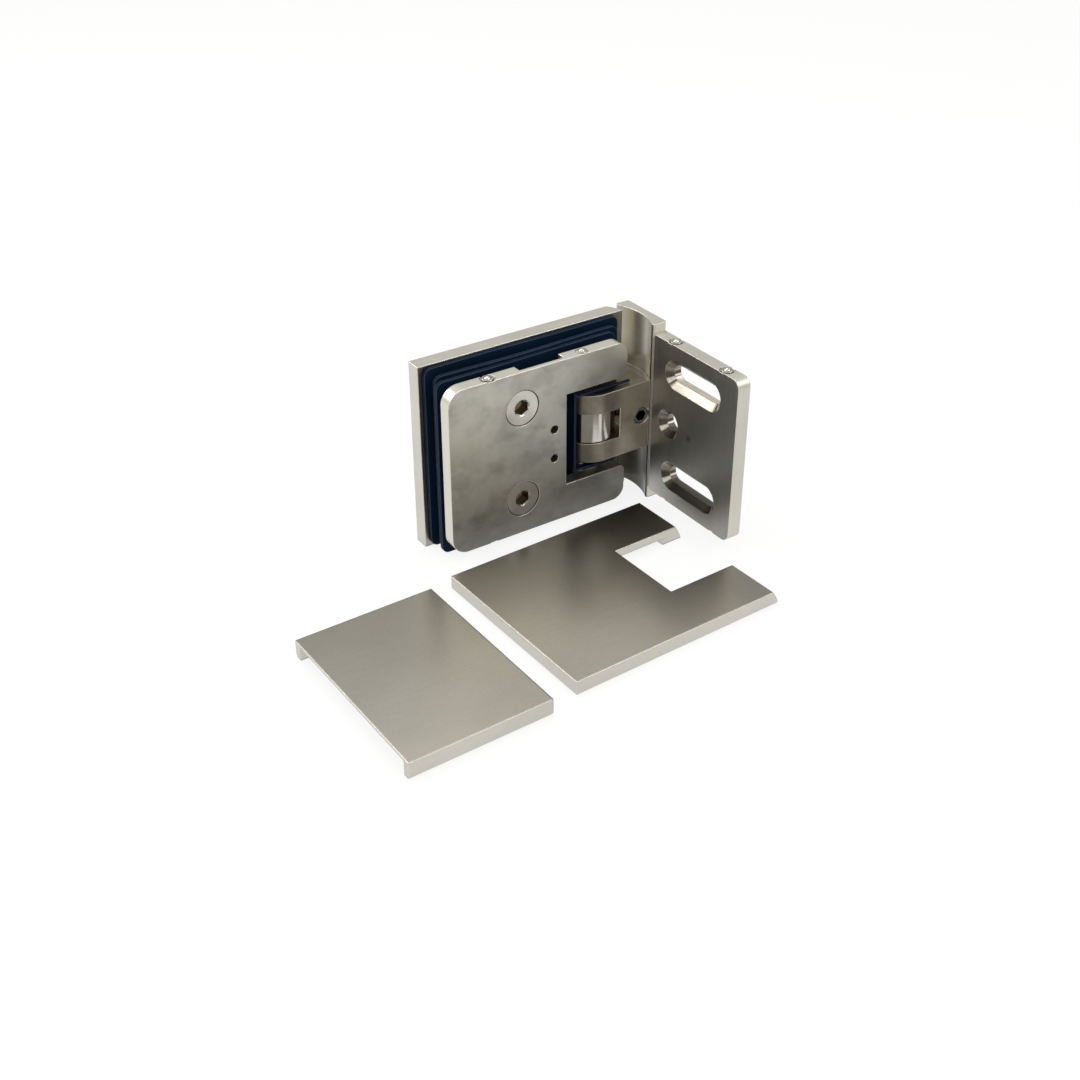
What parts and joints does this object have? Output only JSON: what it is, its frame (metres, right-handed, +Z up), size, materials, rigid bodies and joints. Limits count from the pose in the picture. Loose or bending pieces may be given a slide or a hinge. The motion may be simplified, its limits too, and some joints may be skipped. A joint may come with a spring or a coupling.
{
  "type": "glass door hinge",
  "caption": "Wall to glass pivot hinge with clamp plates, rubber gaskets, a knuckle fork with a cam, and two clip-on covers lying off.",
  "frame": {"origin": "centre of the round fixing hole, on the wall face of the wall leaf", "axes": "+X into the wall, +Z up along the pivot axis, -Y towards the room in front"},
  "size_m": [0.2008, 0.1388, 0.09],
  "materials": {
    "satin_metal": "satin nickel, brushed",
    "wall_metal": "satin nickel, brushed upright",
    "bright_steel": "bright turned steel",
    "dark_steel": "plain steel",
    "plastic": "matt black",
    "rubber": "matt, near black with a blue tint"
  },
  "bodies": {
    "wall_side": {"wall_leaf": "wall_metal", "cam_plunger": "bright_steel", "cam_spring": "dark_steel", "spring_screw": "dark_steel", "lock_screw": "dark_steel", "upper_bush": "plastic", "lower_bush": "plastic", "wall_plunger_sleeves": "dark_steel", "wall_plunger_springs": "dark_steel", "glass_cover": "satin_metal", "wall_cover": "satin_metal"},
    "glass_side": {"front_plate": "satin_metal", "rear_plate": "satin_metal", "gasket_front": "rubber", "gasket_middle": "rubber", "gasket_rear": "rubber", "notch_liner": "rubber", "upper_clamp_screw": "bright_steel", "lower_clamp_screw": "bright_steel", "pivot_pin": "bright_steel", "cam_sleeve": "bright_steel", "cam_dowel": "dark_steel", "lug_dowels": "dark_steel", "plate_plunger_sleeves": "dark_steel", "plate_plunger_springs": "dark_steel"},
    "wall_ball_1": {"wall_ball_1": "bright_steel"},
    "wall_ball_2": {"wall_ball_2": "bright_steel"},
    "wall_ball_3": {"wall_ball_3": "bright_steel"},
    "wall_ball_4": {"wall_ball_4": "bright_steel"},
    "plate_ball_1": {"plate_ball_1": "bright_steel"},
    "plate_ball_2": {"plate_ball_2": "bright_steel"},
    "plate_ball_3": {"plate_ball_3": "bright_steel"},
    "plate_ball_4": {"plate_ball_4": "bright_steel"},
    "plate_ball_5": {"plate_ball_5": "bright_steel"},
    "plate_ball_6": {"plate_ball_6": "bright_steel"}
  },
  "joints": [
    {"name": "swing", "type": "hinge", "parent": "wall_side", "child": "glass_side", "pos_m": [-0.0325, 0.0268, 0], "axis": [0, 0, 1], "range_deg": [-90, 10]},
    {"name": "wall_ball_1_press", "type": "slide", "parent": "wall_side", "child": "wall_ball_1", "axis": [0, 0, -1], "range_m": [0, 0.0006], "stiffness_N_per_m": 1000, "springref_m": -0.001},
    {"name": "wall_ball_2_press", "type": "slide", "parent": "wall_side", "child": "wall_ball_2", "axis": [0, 0, 1], "range_m": [0, 0.0006], "stiffness_N_per_m": 1000, "springref_m": -0.001},
    {"name": "wall_ball_3_press", "type": "slide", "parent": "wall_side", "child": "wall_ball_3", "axis": [0, 0, -1], "range_m": [0, 0.0006], "stiffness_N_per_m": 1000, "springref_m": -0.001},
    {"name": "wall_ball_4_press", "type": "slide", "parent": "wall_side", "child": "wall_ball_4", "axis": [0, 0, 1], "range_m": [0, 0.0006], "stiffness_N_per_m": 1000, "springref_m": -0.001},
    {"name": "plate_ball_1_press", "type": "slide", "parent": "glass_side", "child": "plate_ball_1", "axis": [0, 0, -1], "range_m": [0, 0.0006], "stiffness_N_per_m": 1000, "springref_m": -0.001},
    {"name": "plate_ball_2_press", "type": "slide", "parent": "glass_side", "child": "plate_ball_2", "axis": [0, 0, 1], "range_m": [0, 0.0006], "stiffness_N_per_m": 1000, "springref_m": -0.001},
    {"name": "plate_ball_3_press", "type": "slide", "parent": "glass_side", "child": "plate_ball_3", "axis": [0, 0, -1], "range_m": [0, 0.0006], "stiffness_N_per_m": 1000, "springref_m": -0.001},
    {"name": "plate_ball_4_press", "type": "slide", "parent": "glass_side", "child": "plate_ball_4", "axis": [0, 0, 1], "range_m": [0, 0.0006], "stiffness_N_per_m": 1000, "springref_m": -0.001},
    {"name": "plate_ball_5_press", "type": "slide", "parent": "glass_side", "child": "plate_ball_5", "axis": [-1, 0, 0], "range_m": [0, 0.0006], "stiffness_N_per_m": 1000, "springref_m": -0.001},
    {"name": "plate_ball_6_press", "type": "slide", "parent": "glass_side", "child": "plate_ball_6", "axis": [-1, 0, 0], "range_m": [0, 0.0006], "stiffness_N_per_m": 1000, "springref_m": -0.001}
  ]
}
